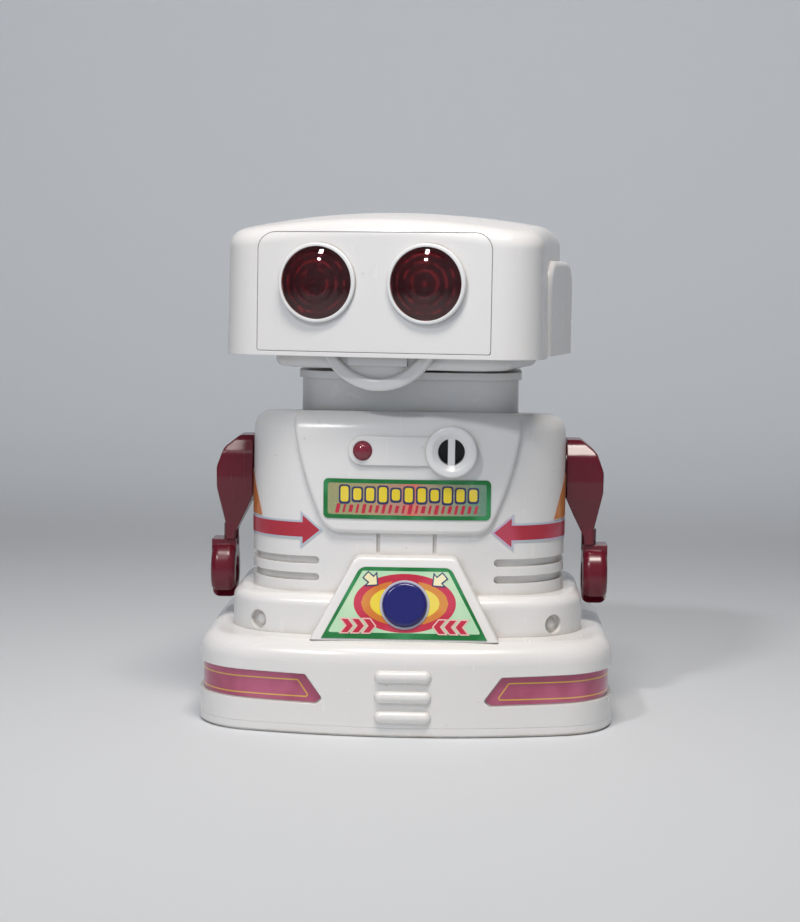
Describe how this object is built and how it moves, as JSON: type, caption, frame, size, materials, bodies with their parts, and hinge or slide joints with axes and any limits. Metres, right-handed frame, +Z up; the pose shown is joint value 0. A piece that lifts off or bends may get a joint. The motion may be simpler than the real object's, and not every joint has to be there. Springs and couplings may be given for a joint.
{
  "type": "talking toy robot",
  "caption": "Plastic talking toy robot on a wide base, with a turning head, moving jaw, swinging arms, push button, mode switch and sliding battery door.",
  "frame": {"origin": "centre of the base's underside", "axes": "+Z up, the robot faces -Y, its own left side is +X"},
  "size_m": [0.135, 0.1167, 0.1656],
  "materials": {
    "white_shell": "glossy moulded plastic",
    "white_trim": "glossy moulded plastic",
    "red_arm": "glossy moulded plastic",
    "red_lens": "clear tinted plastic",
    "red_lamp": "clear tinted plastic",
    "blue_button": "glossy moulded plastic",
    "foil_red": "metallised film",
    "foil_label": "metallised film",
    "board": "phenolic board",
    "components": "moulded epoxy",
    "steel": "zinc plated",
    "speaker_metal": "pressed steel",
    "speaker_paper": "matt card",
    "ferrite": "sintered",
    "cell": "printed sleeve",
    "reflector": "metallised plastic",
    "wire": "sleeved wire",
    "dark_plastic": "moulded plastic",
    "copper": "wound wire"
  },
  "bodies": {
    "body": {"base_shell": "white_shell", "base_pan": "white_shell", "batteries": "cell", "battery_plates": "steel", "battery_springs": "steel", "base_screws": "steel", "body_screws": "steel", "base_stripes": "foil_red", "body_front": "white_shell", "body_back": "white_shell", "case_screws": "steel", "neck_collar": "white_shell", "microphone_bezel": "white_trim", "microphone": "steel", "indicator_lamp": "red_lamp", "circuit_board": "board", "board_components": "components", "board_screws": "steel", "speaker_basket": "speaker_metal", "speaker_cone": "speaker_paper", "speaker_magnet": "ferrite", "button_bezel": "white_trim", "button_switch": "components", "mode_switch": "components", "chest_label": "foil_label", "button_label": "foil_label", "side_arrows": "foil_red", "side_flashes": "foil_red", "battery_wires": "wire", "speaker_wires": "wire", "neck_wires": "wire"},
    "head": {"head_shell_front": "white_shell", "head_shell_rear": "white_shell", "face_plate": "white_shell", "eye_bezels": "white_trim", "eye_lenses": "red_lens", "eye_reflectors": "reflector", "eye_lamps": "red_lamp", "ear_left": "white_shell", "ear_right": "white_shell", "head_floor": "white_shell", "head_screws": "steel", "head_spindle": "white_trim", "spindle_clip": "steel", "jaw_pin": "steel", "jaw_coil": "copper", "eye_wires": "wire"},
    "jaw": {"jaw": "white_shell"},
    "button": {"try_button": "blue_button"},
    "mode_knob": {"mode_knob": "dark_plastic"},
    "battery_door": {"battery_door": "white_shell"},
    "left_arm": {"arm_left": "red_arm", "claw_left": "red_arm", "shoulder_washer_left": "steel", "shoulder_screw_left": "steel"},
    "right_arm": {"arm_right": "red_arm", "claw_right": "red_arm", "shoulder_washer_right": "steel", "shoulder_screw_right": "steel"}
  },
  "joints": [
    {"name": "head_turn", "type": "hinge", "parent": "body", "child": "head", "pos_m": [0, 0, 0.11375], "axis": [0, 0, 1], "range_deg": [-32, 58]},
    {"name": "jaw_drop", "type": "hinge", "parent": "head", "child": "jaw", "pos_m": [0.0036, 0.01559, 0.1275], "axis": [0.9744, -0.225, 0], "range_deg": [0, 3.5]},
    {"name": "left_arm_swing", "type": "hinge", "parent": "body", "child": "left_arm", "pos_m": [0.0527, 0, 0.08], "axis": [-1, 0, 0], "range_deg": [-60, 120]},
    {"name": "right_arm_swing", "type": "hinge", "parent": "body", "child": "right_arm", "pos_m": [-0.0527, 0, 0.08], "axis": [-1, 0, 0], "range_deg": [-60, 120]},
    {"name": "button_press", "type": "slide", "parent": "body", "child": "button", "axis": [0, 0.9487, -0.3162], "range_m": [0, 0.002]},
    {"name": "mode_select", "type": "slide", "parent": "body", "child": "mode_knob", "axis": [1, 0, 0], "range_m": [-0.004, 0.004]},
    {"name": "battery_door_slide", "type": "slide", "parent": "body", "child": "battery_door", "axis": [0, 1, 0], "range_m": [0, 0.06]}
  ]
}
